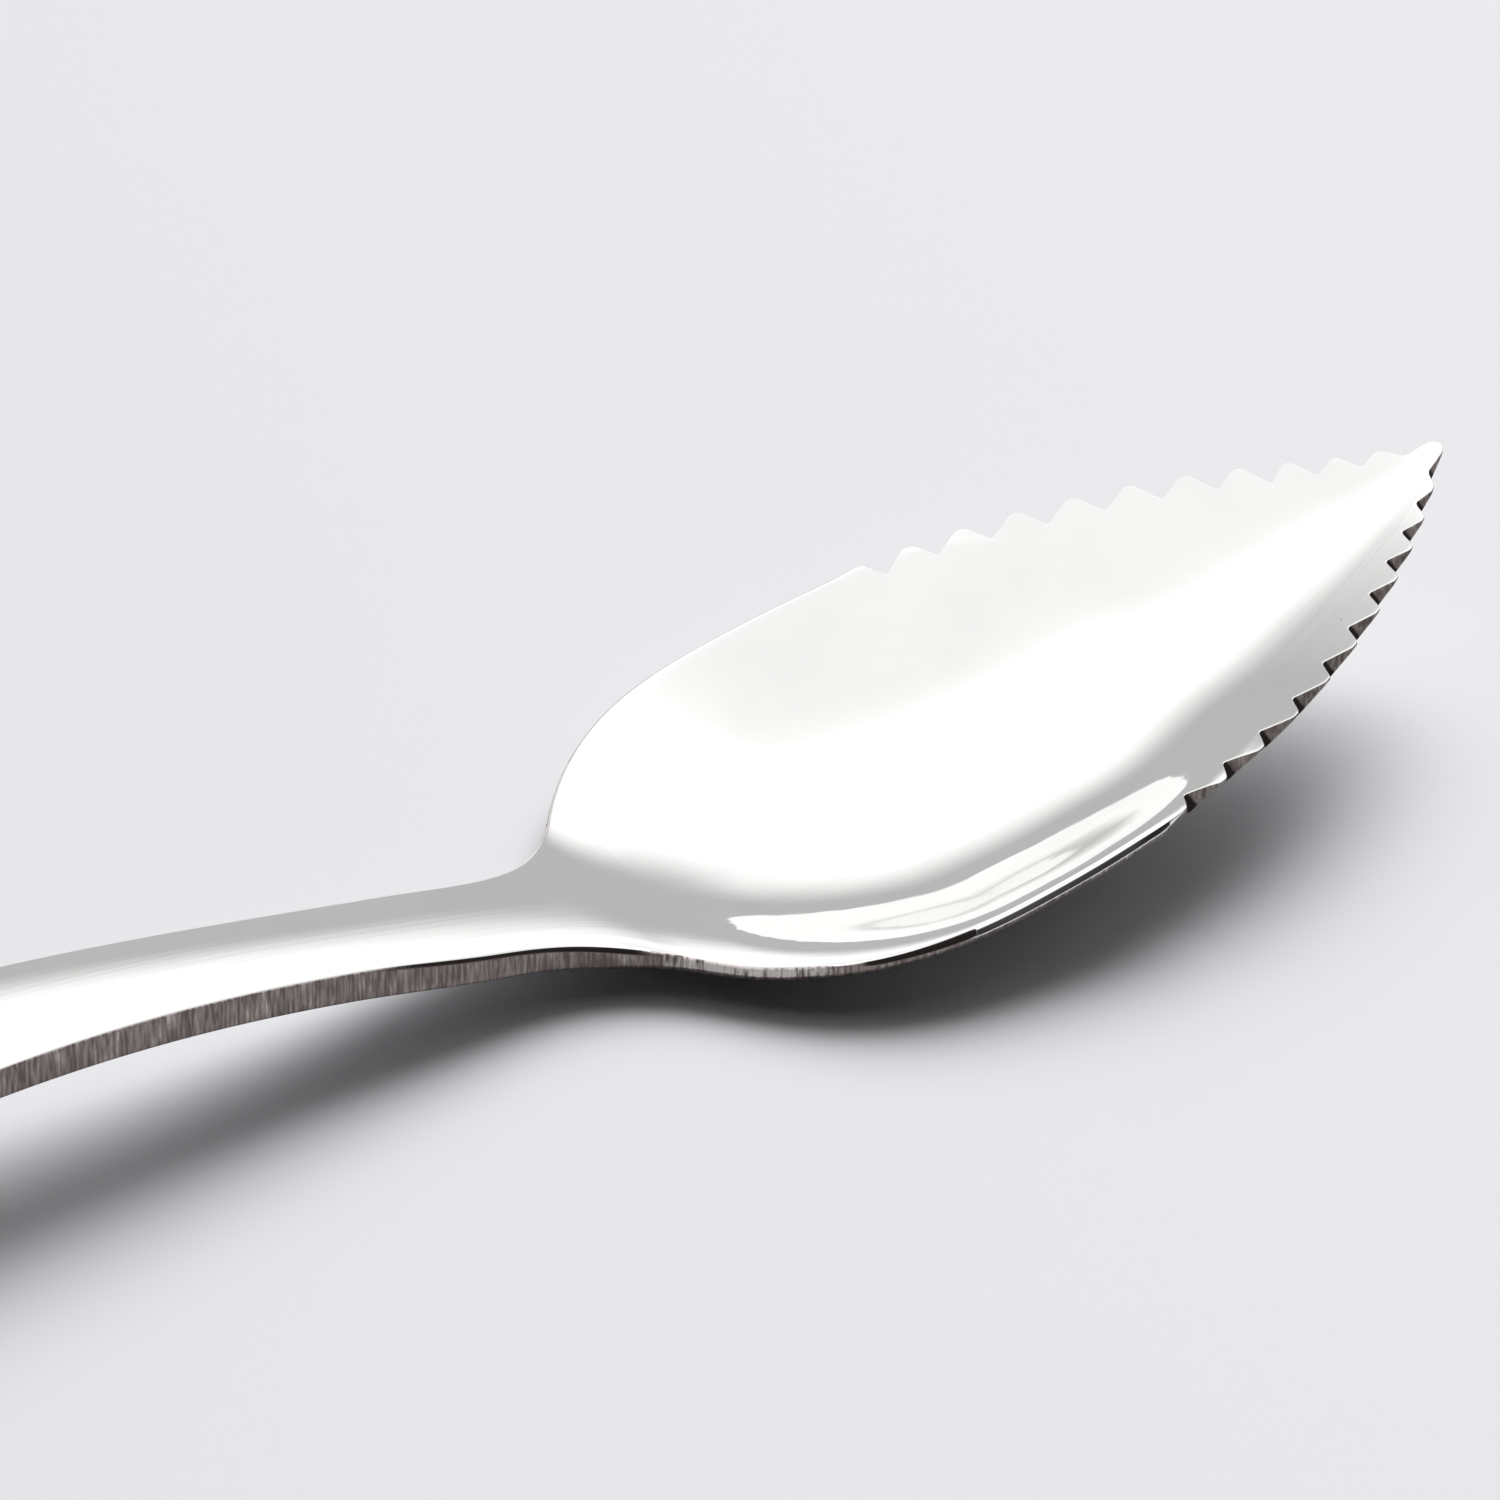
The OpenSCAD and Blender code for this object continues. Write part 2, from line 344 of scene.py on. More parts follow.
@dataclass(frozen=True)
class CutSteel:
    """Sheared edge of the sheet: raw and brown-grey, worn or buffed bright by an attribute."""

    light: Colour = (0.375, 0.333, 0.314)
    dark: Colour = (0.165, 0.138, 0.13)
    # Near-black colour of the painted shade in the valleys and of the dark line below the rounding
    valley_shade_and_line: Colour = (0.035, 0.028, 0.027)
    worn: Colour = (0.74, 0.70, 0.68)
    bright: Colour = (0.90, 0.898, 0.89)
    roughness: float = 0.5
    bright_roughness: float = 0.05
    streak_mm: float = 0.19
    streak_stretch: float = 8.0
    streak_detail: float = 3.0
    streak_share: float = 0.75
    stain_mm: float = 1.71
    raw_range: Range = (0.36, 0.64)
    streak_wear: float = 1.0
    stain_wear: float = 0.5
    worn_range: Range = (0.1, 0.4)
    streak_in_painted_dark: float = 0.4
    painted_dark_range: Range = (0.3, 0.75)
    bright_range: Range = (0.75, 0.97)
    relief_mm: float = 0.012

    def material(self) -> bpy.types.Material:
        """Streaks run up and down the edge, with coarser stains, with painted shade in the valleys of
        the teeth and with a painted dark line below the rounding.

        Returns:
            The new material.
        """
        material, tree = new_material("cut_steel")
        buff = tree.node("ShaderNodeAttribute", {"attribute_name": BUFF})["Fac"]
        valley_shade_and_line = tree.node("ShaderNodeAttribute", {"attribute_name": VALLEY_SHADE_AND_LINE})["Fac"]
        streak = tree.noise(self.streak_mm, (1.0, 1.0, self.streak_stretch), self.streak_detail)
        stain = tree.noise(self.stain_mm)
        shade = streak * self.streak_share + stain * (1.0 - self.streak_share)
        edge = tree.mix(tree.smooth(shade, *self.raw_range), opaque(self.dark), opaque(self.light))
        streak_off = streak - NOISE_MIDDLE
        wear = buff + (stain - NOISE_MIDDLE) * self.stain_wear + streak_off * self.streak_wear
        edge = tree.mix(tree.smooth(wear, *self.worn_range), edge, opaque(self.worn))
        # Painted shade in the valleys and the dark line below the rounding: a near-black colour laid on
        # where the attribute is high
        painted_dark_mask = tree.smooth(valley_shade_and_line + streak_off * self.streak_in_painted_dark, *self.painted_dark_range)
        edge = tree.mix(painted_dark_mask, edge, opaque(self.valley_shade_and_line))
        bright = tree.smooth(buff, *self.bright_range)
        tree.surface(
            Base_Color=tree.mix(bright, edge, opaque(self.bright)),
            Roughness=self.roughness - bright * (self.roughness - self.bright_roughness),
            Metallic=1.0,
            Normal=tree.bump(streak * (1.0 - bright), self.relief_mm),
        )
        return material


@dataclass(frozen=True)
class GroundSteel:
    """Underside of the teeth, ground bright with fine scratches square to the edge."""

    light: Colour = (0.66, 0.65, 0.64)
    dark: Colour = (0.46, 0.45, 0.44)
    roughness: float = 0.3
    scratch_roughness: float = 0.12
    scratch_mm: float = 0.06
    scratch_stretch: float = 12.0
    relief_mm: float = 0.008

    def material(self) -> bpy.types.Material:
        """Fine scratches in colour and relief.

        Returns:
            The new material.
        """
        material, tree = new_material("ground_steel")
        stretch = (1.0, self.scratch_stretch, self.scratch_stretch)
        scratch = tree.noise(self.scratch_mm, stretch)
        tree.surface(
            Base_Color=tree.mix(scratch, opaque(self.dark), opaque(self.light)),
            Roughness=scratch * self.scratch_roughness + self.roughness,
            Metallic=1.0,
            Normal=tree.bump(scratch, self.relief_mm),
        )
        return material


@dataclass
class FruitSpoon:
    """The whole spoon, one unbroken sheet from the tip to the handle's end.

    Its lengths, the handle's width and the tip's height come from the frame. The outline, profile,
    dish and teeth follow the solids. The edge's form and finish and the easing of the arch are the
    scene's own.
    """

    bowl_l: float
    neck_l: float
    handle_l: float
    end_w: float
    tip_z: float

    # Outline
    bowl_w: float = 32.0
    wide_at: float = 38.8
    tip_w: float = 0.7
    tip_angle: float = 42.2
    tip_round: float = 0.2
    heel_w: float = 17.0
    heel_angle: float = 51.1
    shoulder_l: float = 11.1
    shank_w: float = 7.6
    neck_w: float = 6.9
    end_round: float = 11.0

    # Side profile
    rim_fall: float = 10.3
    tip_lift: float = 0.9
    tip_curl_l: float = 6.0
    heel_bend_l: float = 3.5
    neck_rise: float = 12.1
    end_level_l: float = 20.0
    arch_ease: float = 12.0
    arch_close: float = 34.0
    arch_n: int = 25

    # Dish
    floor_fall: float = 17.3
    floor_bend_l: float = 29.3
    floor_sink: float = 0.26
    sink_front: float = 25.0
    sink_back: float = 13.0
    belly_n: int = 400
    floor_flat: Shape = (2.3, 3.0, 2.2)
    rim_flat: Shape = (2.25, 1.55, 2.2)
    tip_shape_to: float = 12.4
    mid_shape_from: float = 31.3
    mid_shape_to_heel: float = 15.0
    steady_from: float = 0.62
    steady_to: float = 14.0
    steady_end: float = 27.0

    # Sheet
    bowl_t: float = 1.05
    rim_t: float = 0.62
    thick_from: float = 56.0
    thick_to: float = 62.5
    handle_t: float = 2.0
    thin_to_heel: float = 14.0
    neck_crown: float = 0.4
    crown_front: float = 6.5
    crown_l: float = 11.0
    end_crown: float = 0.6

    # Edge
    tooth_round: float = 0.1
    rim_round: float = 0.3
    neck_round: float = 0.75
    handle_round: float = 0.4
    rim_lean: float = 26.0
    lean_to: float = 45.0
    lean_end: float = 52.0
    tooth_under: float = 0.04
    rim_under: float = 0.16
    handle_under: float = 0.2
    rim_inset: float = 0.13
    inset_run: float = 4.0
    round_share: float = 0.52
    under_share: float = 0.46

    # Teeth
    notch_n: int = 11
    first_crest: float = 2.3
    pitch_tip: float = 1.94
    pitch_step: float = 0.23
    pitch_max: float = 3.22
    notch_depth: float = 1.26
    tip_notch: float = 0.58
    notch_step: float = 0.25
    land_part: float = 0.17
    flank_part: float = 0.57
    crest_round: float = 0.16
    crest_n: int = 9
    crest_t: float = 0.16
    grind_angle: float = 37.0
    grind_runout: float = 2.0

    # Finish of the edge: where it is buffed, raw and worn, and where shade and a dark line are painted
    # on it
    buff_lead: float = 0.1
    buff_run: float = 0.8
    raw_from: float = 44.6
    raw_run: float = 0.4
    raw_turn: float = 59.0
    turn_blend: float = 5.0
    worn: float = 0.34
    worn_from: float = 51.5
    worn_run: float = 1.5
    worn_to: float = 57.5
    worn_fade: float = 2.5
    worn_turn: float = 30.0
    # Painted shade in the valleys: its reach from a valley, and how much wider it gets further down
    valley_shade_l: float = 0.26
    valley_shade_lean: float = 0.46
    # Where the dark line below the rounding is painted
    line_lead: float = 1.0
    line_fade: float = 1.5
    line_from: float = 58.0
    line_run: float = 3.0
    line_to: float = 70.0
    line_end: float = 80.0
    line_w: float = 0.25

    # Waves of the polish, which fade out along the handle
    still_from: float = 88.0
    still_to: float = 112.0

    # Mesh
    land_n: int = 6
    flank_n: int = 12
    back_n: int = 9
    bowl_step: float = 0.4
    handle_step: float = 0.9
    end_n: int = 40
    edge_band: float = 1.9
    inner_share: float = 0.55
    end_front: float = 0.2
    inner_n: int = 24
    band_n: int = 7
    arc_n: int = 9
    wall_n: int = 6
    under_arc_n: int = 4

    def __post_init__(self) -> None:
        """Works out the places along the spoon that the other sizes give."""
        self.heel = self.bowl_l
        self.waist = self.heel + self.neck_l
        self.spoon_l = self.waist + self.handle_l
        self.end_wide = self.spoon_l - self.end_round
        self.fall = np.tan(np.radians(self.rim_fall))
        self.rise = np.tan(np.radians(self.neck_rise))
        self.floor_slope = np.tan(np.radians(self.floor_fall))
        growing = self.pitch_tip + self.pitch_step * np.arange(self.notch_n - 1)
        pitches = np.minimum(self.pitch_max, growing)
        self.crests = np.concatenate(([0.0, self.first_crest], self.first_crest + np.cumsum(pitches)))
        self.lands = self.crests[:-1] + self.land_part * np.diff(self.crests)
        self.valleys = self.lands + self.flank_part * np.diff(self.crests)
        self.teeth_end = float(self.crests[-1])
        bowl = np.linspace(0.0, self.heel, self.belly_n)
        self.belly = float((self.floor_line(bowl) - self.sheet_t(bowl)).min())
        self.arch_l = self.handle_l - self.end_level_l
        end_line = float(self.rim_line(np.array([self.spoon_l]))[0])
        drop = end_line - self.rise * self.end_level_l / 2.0 - self.handle_t - self.belly
        self.arch_turn = drop / (self.arch_l / 2.0 + self.end_level_l / 2.0)

    def half_width(self, s: Array) -> Array:
        """Half width of the outline through the crests: cubic curves between six widths.

        Args:
            s: Places along the spoon.

        Returns:
            Half widths. The handle's end is a quarter of an ellipse.
        """
        shank = self.heel + self.shoulder_l
        place = np.array([0.0, self.wide_at, self.heel, shank, self.waist, self.end_wide])
        full = (self.tip_w, self.bowl_w, self.heel_w, self.shank_w, self.neck_w, self.end_w)
        width = np.array(full) / 2.0
        slope = np.zeros_like(place)
        slope[0] = np.tan(np.radians(self.tip_angle))
        slope[2] = -np.tan(np.radians(self.heel_angle))
        i = np.clip(np.searchsorted(place, s) - 1, 0, len(place) - 2)
        h = place[i + 1] - place[i]
        u = np.clip((s - place[i]) / h, 0.0, 1.0)
        v = 1.0 - u
        cubic = ((1.0 + 2.0 * u) * v * v * width[i] + u * v * v * h * slope[i]
                 + u * u * (3.0 - 2.0 * u) * width[i + 1] - u * u * v * h * slope[i + 1])
        end = np.clip((s - self.end_wide) / self.end_round, 0.0, 1.0)
        return np.where(s > self.end_wide, self.end_w / 2.0 * np.sqrt(1.0 - end * end), cubic)

    def tip_rounding(self, s: Array) -> Array:
        """Share of the half width that is left where the very tip is rounded off."""
        u = np.clip(s / self.tip_round, 0.0, 1.0)
        return np.sqrt(1.0 - (1.0 - u) ** 2)

    def notch(self, s: Array) -> Array:
        """How far the teeth cut in, measured across the spoon, with rounded crests and valleys.

        Args:
            s: Places along the spoon.

        Returns:
            The saw-tooth line, averaged over a short window around each place.
        """
        before, after = self.half_width(self.valleys - PROBE), self.half_width(self.valleys + PROBE)
        slope = (after - before) / (2.0 * PROBE)
        depth = np.minimum(self.notch_depth, self.tip_notch + self.notch_step * np.arange(self.notch_n))
        teeth = np.stack((self.crests[:-1], self.lands, self.valleys), axis=-1)
        places = np.append(teeth, self.teeth_end)
        cuts = np.zeros(3 * self.notch_n + 1)
        cuts[2::3] = depth * np.sqrt(1.0 + slope**2)
        window = self.crest_round * np.linspace(-1.0, 1.0, self.crest_n)
        near = np.minimum(1.0, s / (2.0 * self.crest_round))[..., None] * window
        return np.interp(s[..., None] + near, places, cuts).mean(axis=-1)

    def tip_curl(self, s: Array) -> Array:
        """Height that the very tip turns up by."""
        return self.tip_lift * np.maximum(0.0, 1.0 - s / self.tip_curl_l) ** 2

    def rim_line(self, s: Array) -> Array:
        """Height of a straight rim that turns up at the tip and again at the heel."""
        turn = bend(s, self.heel - self.heel_bend_l / 2.0, self.heel_bend_l)
        return self.tip_curl(s) - self.fall * s + (self.fall + self.rise) * turn

    def floor_line(self, s: Array) -> Array:
        """Height of the floor on the centre line: steeper than the rim, with a longer bend.

        Args:
            s: Places along the spoon.

        Returns:
            Heights. Round the heel the floor sinks a little more, in one wave of a cosine.
        """
        turn_rise = self.floor_slope + self.rise
        cross = (self.fall + self.rise) * self.heel / turn_rise
        turn = bend(s, cross - self.floor_bend_l / 2.0, self.floor_bend_l)
        u = np.clip((s - self.heel + self.sink_front) / (self.sink_front + self.sink_back), 0.0, 1.0)
        sink = self.floor_sink * (1.0 - np.cos(2.0 * np.pi * u)) / 2.0
        return self.tip_curl(s) - self.floor_slope * s + turn_rise * turn - sink

    def edge_z(self, s: Array) -> Array:
        """Height of the edge: the rim line, bent down by the handle's arch and levelled at its end.

        Args:
            s: Places along the spoon.

        Returns:
            Heights. The arch is averaged over a window, so that one bend eases into the next.
        """
        reach = self.arch_ease * (1.0 - ease(s, self.spoon_l - self.arch_close, self.spoon_l))
        around = s[..., None] + reach[..., None] * np.linspace(-1.0, 1.0, self.arch_n)
        arch = self.arch_turn * bend(around, self.waist, self.arch_l)
        level = (self.arch_turn - self.rise) * bend(around, self.waist + self.arch_l, self.end_level_l)
        return self.rim_line(s) - (arch - level).mean(axis=-1)

    def dish(self, s: Array) -> Array:
        """Depth of the dish below the rim, along the centre line."""
        return np.where(s < self.heel + self.sink_back, self.rim_line(s) - self.floor_line(s), 0.0)

    def shaped(self, s: Array, shape: Shape) -> Array:
        """Value at each place of a shape that is given at three places of the bowl.

        Args:
            s: Places along the spoon.
            shape: Its values at the tip, in the middle and at the heel.

        Returns:
            Values, which ease from one to the next.
        """
        tip, mid, heel = shape
        value = tip + (mid - tip) * ease(s, self.tip_shape_to, self.mid_shape_from)
        return value + (heel - mid) * ease(s, self.heel - self.mid_shape_to_heel, self.heel)

    def sheet_t(self, s: Array) -> Array:
        """Thickness of the sheet, thin in the bowl and thick in the handle."""
        thick = ease(s, self.heel - self.thin_to_heel, self.waist)
        return self.bowl_t + (self.handle_t - self.bowl_t) * thick

    def unrounded_width(self, s: Array) -> Array:
        """Half width of the outline, without the rounding of the handle's end."""
        return np.where(s > self.end_wide, self.end_w / 2.0, self.half_width(s))

    def across(self, s: Array, y: Array) -> Array:
        """Square of the place across the spoon: 0 on the centre line, 1 on the outline."""
        end = np.clip((s - self.end_wide) / self.end_round, 0.0, 1.0)
        return np.minimum(1.0, (y / self.unrounded_width(s)) ** 2 + end * end)

    def bell(self, s: Array, e: Array) -> Array:
        """Section of the dish: 1 on the centre line, 0 on the outline, flat at both."""
        floor = np.maximum(0.0, e) ** self.shaped(s, self.floor_flat)
        return np.maximum(0.0, 1.0 - floor) ** self.shaped(s, self.rim_flat)

    def section_at(self, s: Array, e: Array) -> Array:
        """The bell, whose slope stays the same from a place across the bowl out to the front teeth.

        Args:
            s: Places along the spoon.
            e: Places across it, 0 on the centre line and 1 on the outline.

        Returns:
            Shares of the dish's depth, which end below 0 where the slope stays the same.
        """
        steady = self.steady_from + (1.0 - self.steady_from) * ease(s, self.steady_to, self.steady_end)
        k = np.minimum(e, steady)
        here = self.bell(s, k)
        return here + (e - k) * (here - self.bell(s, k - PROBE)) / PROBE

    def hollow(self, s: Array, y: Array) -> Array:
        """Height of the sheet without its crown: the edge, less the dish in its section."""
        depth = self.section_at(s, np.sqrt(self.across(s, y))) - self.section_at(s, np.ones_like(s + y))
        return self.edge_z(s) - self.dish(s) * depth

    def top(self, s: Array, y: Array) -> Array:
        """Height of the upper face: the hollow, with a crown along the neck and handle.

        Args:
            s: Places along the spoon.
            y: Places across it.

        Returns:
            Heights. The crown is a parabola across the spoon.
        """
        start = self.heel - self.crown_front
        neck = self.neck_crown * ease(s, start, start + self.crown_l)
        crown = neck + (self.end_crown - self.neck_crown) * ease(s, self.waist, self.end_wide)
        return self.hollow(s, y) + crown * (1.0 - self.across(s, y))

    def local_t(self, s: Array, y: Array) -> Array:
        """Thickness at a place, ground away from below towards the teeth and the plain rim.

        Args:
            s: Places along the spoon.
            y: Places across it.

        Returns:
            Thicknesses: the edge's own, growing at the grinding angle up to the sheet's.
        """
        inside = np.maximum(0.0, self.half_width(s) - np.abs(y))
        sheet = self.sheet_t(s)
        rim = (self.rim_t - self.crest_t) * ease(s, self.teeth_end, self.teeth_end + self.grind_runout)
        full = (sheet - self.rim_t) * ease(s, self.thick_from, self.thick_to)
        ground = np.tan(np.radians(self.grind_angle)) * inside
        return np.minimum(sheet, self.crest_t + rim + full + ground)

    def under(self, s: Array, y: Array, lift: Array) -> tuple[Array, Array]:
        """Place across and height of the lower face, the sheet's thickness square to the upper one.

        Args:
            s: Places along the spoon.
            y: Places across it, on the upper face.
            lift: How much less than the thickness is taken.

        Returns:
            The places across the spoon and the heights.
        """
        slope_y = (self.hollow(s, y + PROBE) - self.hollow(s, y - PROBE)) / (2.0 * PROBE)
        slope_s = (self.hollow(s + PROBE, y) - self.hollow(s - PROBE, y)) / (2.0 * PROBE)
        lean = np.sqrt(1.0 + slope_y**2)
        t = (self.local_t(s, y) - lift) * np.sqrt(1.0 + (slope_s / lean) ** 2)
        return y + t * slope_y / lean, self.hollow(s, y) - t / lean

    def edge_round(self, s: Array) -> Array:
        """Radius of the upper edge: small on the teeth, larger on the rim, largest at the neck.

        Args:
            s: Places along the spoon.

        Returns:
            Radii, which ease from one to the next.
        """
        rim = ease(s, self.teeth_end, self.teeth_end + self.grind_runout)
        neck = ease(s, self.heel, self.heel + self.shoulder_l / 2.0)
        handle = ease(s, self.heel + self.shoulder_l, self.waist)
        radius = self.tooth_round + (self.rim_round - self.tooth_round) * rim
        radius += (self.neck_round - self.rim_round) * neck
        return radius + (self.handle_round - self.neck_round) * handle

    def stations(self) -> Array:
        """Places of the cross-sections, crowded at crests, valleys and both ends.

        Returns:
            Places along the spoon, from the tip to the handle's end.
        """
        parts = []
        teeth = zip(self.crests[:-1], self.lands, self.valleys, self.crests[1:])
        for crest, land, valley, back in teeth:
            parts.append(cosine_steps(crest, land, self.land_n))
            parts.append(cosine_steps(land, valley, self.flank_n))
            parts.append(cosine_steps(valley, back, self.back_n))
        parts.append(np.arange(self.teeth_end, self.heel, self.bowl_step))
        parts.append(np.arange(self.heel, self.waist, self.bowl_step))
        parts.append(np.arange(self.waist, self.end_wide, self.handle_step))
        quarter = np.linspace(0.0, np.pi / 2.0, self.end_n)
        parts.append(self.end_wide + self.end_round * np.sin(quarter))
        return np.concatenate(parts)

    def section(self) -> tuple[Array, Array, Array]:
        """Half of each cross-section, from the middle of the upper face round to the lower one.

        The outline is inset along its own normal, so that the edge keeps its rounding round both ends.

        Returns:
            Places along and across the spoon and heights, one row for each station.
        """
        s = self.stations()
        plain_w = self.half_width(s) * self.tip_rounding(s)
        rim = ease(s, self.teeth_end, self.teeth_end + self.inset_run)
        rim -= ease(s, self.worn_from, self.thick_to)
        w = plain_w - self.notch(s)
        edge_t = self.local_t(s, w)
        w -= self.rim_inset * rim
        w[[0, -1]] = 0.0
        tangent = np.stack((np.gradient(s), np.gradient(plain_w)))
        tangent[:, 0] = (0.0, 1.0)
        tangent[:, -1] = (0.0, -1.0)
        tangent /= np.hypot(*tangent)
        normal_s, normal_y = tangent[1], -tangent[0]
        front = np.full_like(s, self.end_front)
        np.divide(plain_w, np.abs(normal_y), out=front, where=np.abs(normal_y) > NEAR_ZERO)
        front_band = np.minimum(self.edge_band, (1.0 - self.inner_share) * front)
        band = np.where(s < self.wide_at, front_band, self.edge_band)
        inner_s = (s + normal_s * band)[:, None]
        inner_y = np.maximum(0.0, plain_w + normal_y * band)[:, None]

        plain = ease(s, self.teeth_end, self.teeth_end + self.grind_runout)
        handle = ease(s, self.heel, self.heel + self.shoulder_l)
        round_top = np.minimum(self.edge_round(s), self.round_share * edge_t)[:, None]
        round_under = self.tooth_under + (self.rim_under - self.tooth_under) * plain
        round_under += (self.handle_under - self.rim_under) * handle
        round_under = np.minimum(round_under, self.under_share * edge_t)[:, None]
        leaning = plain * (1.0 - ease(s, self.lean_to, self.lean_end))
        lean = np.radians(self.rim_lean) * leaning[:, None]
        wall = edge_t[:, None] - round_top * (1.0 - np.sin(lean)) - round_under
        recess = np.maximum(0.0, wall * np.tan(lean) - round_top * (1.0 - np.cos(lean)))
        s, w, normal_s, normal_y = (a[:, None] for a in (s, w, normal_s, normal_y))

        def inset(distance: Array) -> tuple[Array, Array]:
            """Places on the outline moved inwards by a distance."""
            return s + normal_s * distance, np.maximum(0.0, w + normal_y * distance)

        def across_band(distance: Array) -> tuple[Array, Array]:
            """Places from the inner line out to the outline moved inwards by a distance."""
            edge_s, edge_y = inset(distance)
            return inner_s + (edge_s - inner_s) * out, inner_y + (edge_y - inner_y) * out

        out = np.linspace(0.0, 1.0, self.band_n + 1)[1:]
        middle = np.linspace(0.0, 1.0, self.inner_n)
        flat_s, flat_y = inner_s + 0.0 * middle, inner_y * middle
        turn = (np.radians(90.0) - lean) * np.linspace(0.0, 1.0, self.arc_n + 1)[1:]
        under_turn = np.radians(90.0) * np.linspace(0.0, 1.0, self.under_arc_n + 1)[1:]

        band_s, band_y = across_band(round_top)
        top_s, top_y = np.hstack((flat_s, band_s)), np.hstack((flat_y, band_y))
        arc_s, arc_y = inset(round_top * (1.0 - np.sin(turn)))
        arc_z = self.top(arc_s, arc_y) - round_top * (1.0 - np.cos(turn))
        band_s, band_y = across_band(round_under - recess)
        low_s, low_y = np.hstack((flat_s, band_s)), np.hstack((flat_y, band_y))
        low_y, low_z = self.under(low_s, low_y, 0.0)
        bend_s, bend_y = inset(round_under * (1.0 - np.sin(under_turn)) - recess)
        bend_y, bend_z = self.under(bend_s, bend_y, round_under * (1.0 - np.cos(under_turn)))
        down = np.linspace(0.0, 1.0, self.wall_n + 1)[1:-1]
        wall_s = arc_s[:, -1:] + (bend_s[:, -1:] - arc_s[:, -1:]) * down
        wall_y = arc_y[:, -1:] + (bend_y[:, -1:] - arc_y[:, -1:]) * down
        wall_z = arc_z[:, -1:] + (bend_z[:, -1:] - arc_z[:, -1:]) * down
        all_s = np.hstack((top_s, arc_s, wall_s, bend_s[:, ::-1], low_s[:, ::-1]))
        all_y = np.hstack((top_y, arc_y, wall_y, bend_y[:, ::-1], low_y[:, ::-1]))
        all_z = np.hstack((self.top(top_s, top_y), arc_z, wall_z, bend_z[:, ::-1], low_z[:, ::-1]))
        all_y[:, [0, -1]] = 0.0
        all_y[[0, -1], :] = 0.0
        return all_s, all_y, all_z

    def finishes(self, columns: int) -> Array:
        """Finish of each face between two stations and two columns of half a section.

        Args:
            columns: Number of points in half a section.

        Returns:
            Numbers of finishes, one row for each pair of stations.
        """
        s = self.stations()
        middle = ((s[:-1] + s[1:]) / 2.0)[:, None]
        column = np.arange(columns - 1)[None, :]
        wall_from = self.inner_n + self.band_n - 1
        wall_to = wall_from + self.arc_n + self.wall_n
        wall = (column >= wall_from) & (column < wall_to + self.under_arc_n)
        ground_to = wall_to + self.under_arc_n + self.band_n
        toothed = middle < self.teeth_end + self.grind_runout
        ground = (column > wall_to) & (column < ground_to) & toothed
        mirror = np.full(wall.shape[:1] + (1,), Finish.MIRROR.value)
        return np.where(wall, Finish.CUT.value, np.where(ground, Finish.GROUND.value, mirror))

    def buff(self, s: Array) -> Array:
        """How far the edge is buffed, where the half sections have these places along the spoon.

        Args:
            s: Places along the spoon of the points of each half section.

        Returns:
            1 on the upper face and the plain rim, less on the worn edge at the heel, 0 on raw edges.
        """
        plain = ease(s, self.teeth_end - self.buff_lead, self.teeth_end + self.buff_run)
        plain -= ease(s, self.raw_from, self.raw_from + self.raw_run)
        worn = ease(s, self.worn_from, self.worn_from + self.worn_run)
        worn -= ease(s, self.worn_to, self.worn_to + self.worn_fade)
        wall = plain + self.worn * worn
        start = self.raw_turn - (self.raw_turn - self.worn_turn) * worn
        column = np.arange(s.shape[1]) - self.inner_n - self.band_n + 1
        turn = 90.0 * np.clip(column / self.arc_n, 0.0, 1.0)
        wall = wall * (column <= self.arc_n + self.wall_n)
        return 1.0 - (1.0 - wall) * ease(turn - start, -self.turn_blend, self.turn_blend)

    def valley_shade_and_line(self, s: Array, z: Array) -> Array:
        """How dark the raw edge is painted: painted shade in the valleys of the teeth, and a painted
        dark line below the rounding.

        Args:
            s: Places along the spoon of the points of each half section.
            z: Their heights.

        Returns:
            Shares of the painted dark colour. In a valley the painted shade fades out along both walls,
            and is wider further down.
        """
        edge = self.inner_n + self.band_n - 1
        depth = np.maximum(0.0, z[:, edge:edge + 1] - z)
        away = np.abs(s[..., None] - self.valleys).min(axis=-1)
        valley = np.exp(-((np.maximum(0.0, away - self.valley_shade_lean * depth) / self.valley_shade_l) ** 2))
        below = depth - self.edge_round(s) * (1.0 - np.cos(np.radians(self.raw_turn)))
        line = ease(s, self.raw_from - self.line_lead, self.raw_from)
        line -= ease(s, self.worn_from - self.line_fade, self.worn_from)
        line += ease(s, self.line_from, self.line_from + self.line_run)
        line -= ease(s, self.line_to, self.line_end)
        return np.maximum(valley, line * (1.0 - ease(below, 0.5 * self.line_w, 1.5 * self.line_w)))

    def flow(self, s: Array, y: Array) -> Array:
        """Coordinates of the sheet's waves.

        Args:
            s: Places along the spoon.
            y: Places across it.

        Returns:
            The place along, the place across on a sheet as wide as the bowl, and the strength.
        """
        share = y / np.maximum(self.tip_w, self.unrounded_width(s))
        strength = 1.0 - ease(s, self.still_from, self.still_to)
        return np.stack((s, share * self.bowl_w / 2.0, strength), axis=-1)

